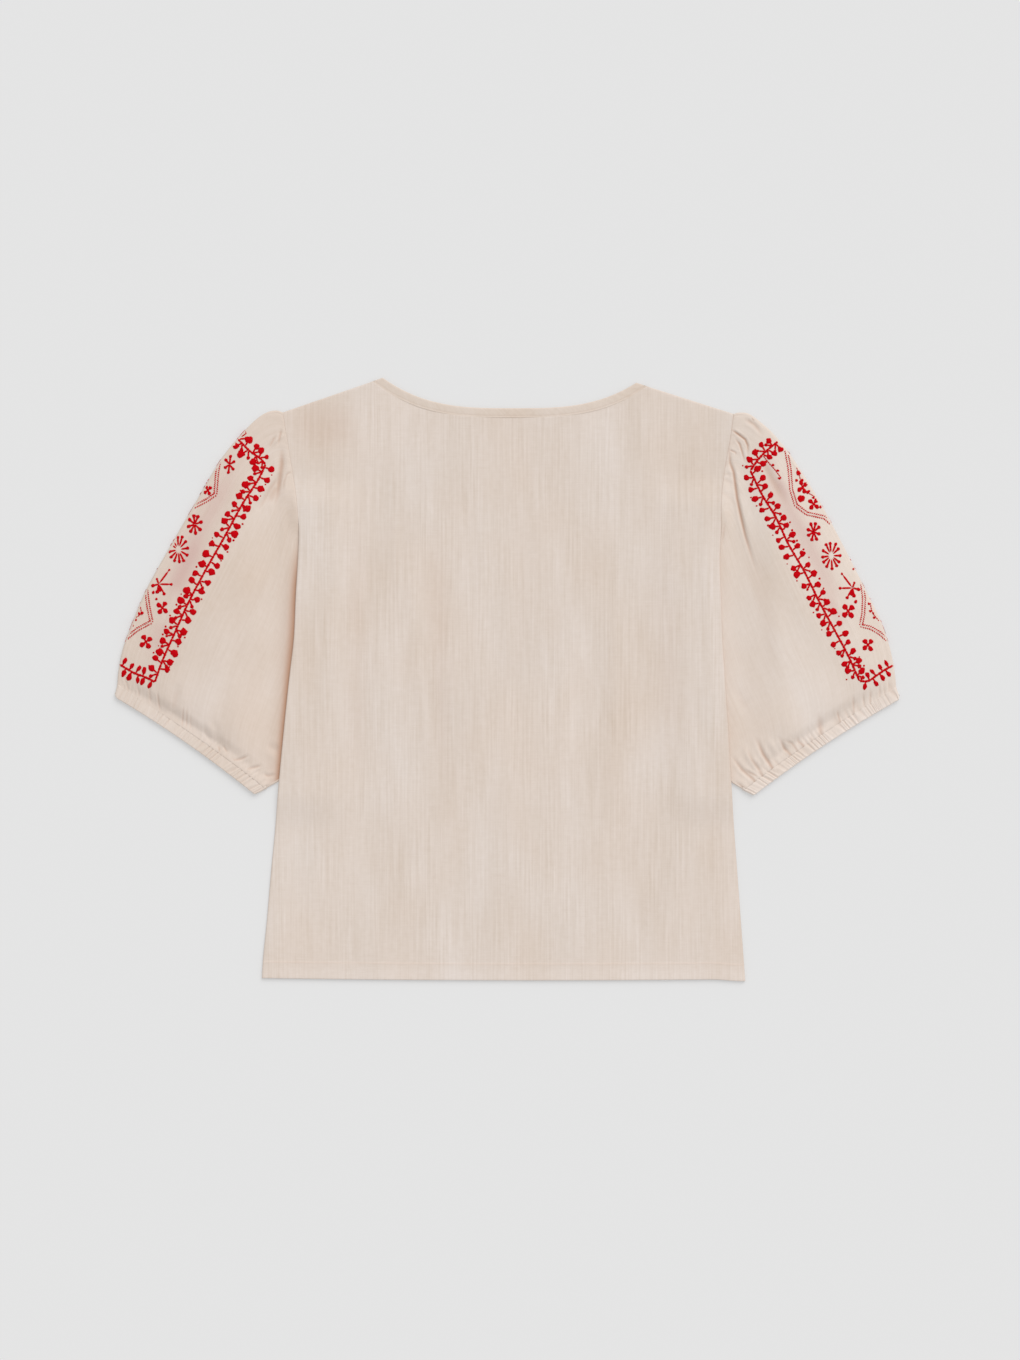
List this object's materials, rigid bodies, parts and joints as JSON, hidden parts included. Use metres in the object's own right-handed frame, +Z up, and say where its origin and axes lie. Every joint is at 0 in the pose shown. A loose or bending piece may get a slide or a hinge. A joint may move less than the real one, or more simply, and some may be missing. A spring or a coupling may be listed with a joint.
{
  "type": "embroidered blouse",
  "caption": "Short puff-sleeved woven blouse lying flat, back up, with a bound wide neck, turned hem, elastic cuffs and red stitched sleeve panels",
  "frame": {"origin": "on the surface the blouse lies on, under the middle of its bounding box", "axes": "+Z up from the surface, out of the blouse's back; +Y towards the neck; +X towards the sleeve on the wearer's right"},
  "size_m": [0.7854, 0.6026, 0.0135],
  "materials": {
    "body_cloth": "matt ecru cotton and viscose with fine vertical slubs",
    "sleeve_cloth": "the same cloth, gathered",
    "cuff_cloth": "the same cloth, gathered on elastic",
    "binding_cloth": "bias strip of the same cloth",
    "red_thread": "red embroidery thread with a soft sheen",
    "sewing_thread": "ecru sewing thread"
  },
  "bodies": {
    "root": {"front_panel": "body_cloth", "back_panel": "body_cloth", "neck_binding_front": "binding_cloth", "neck_binding_back": "binding_cloth", "sleeve_left": "sleeve_cloth", "sleeve_right": "sleeve_cloth", "cuff_left": "cuff_cloth", "cuff_right": "cuff_cloth"}
  },
  "joints": []
}
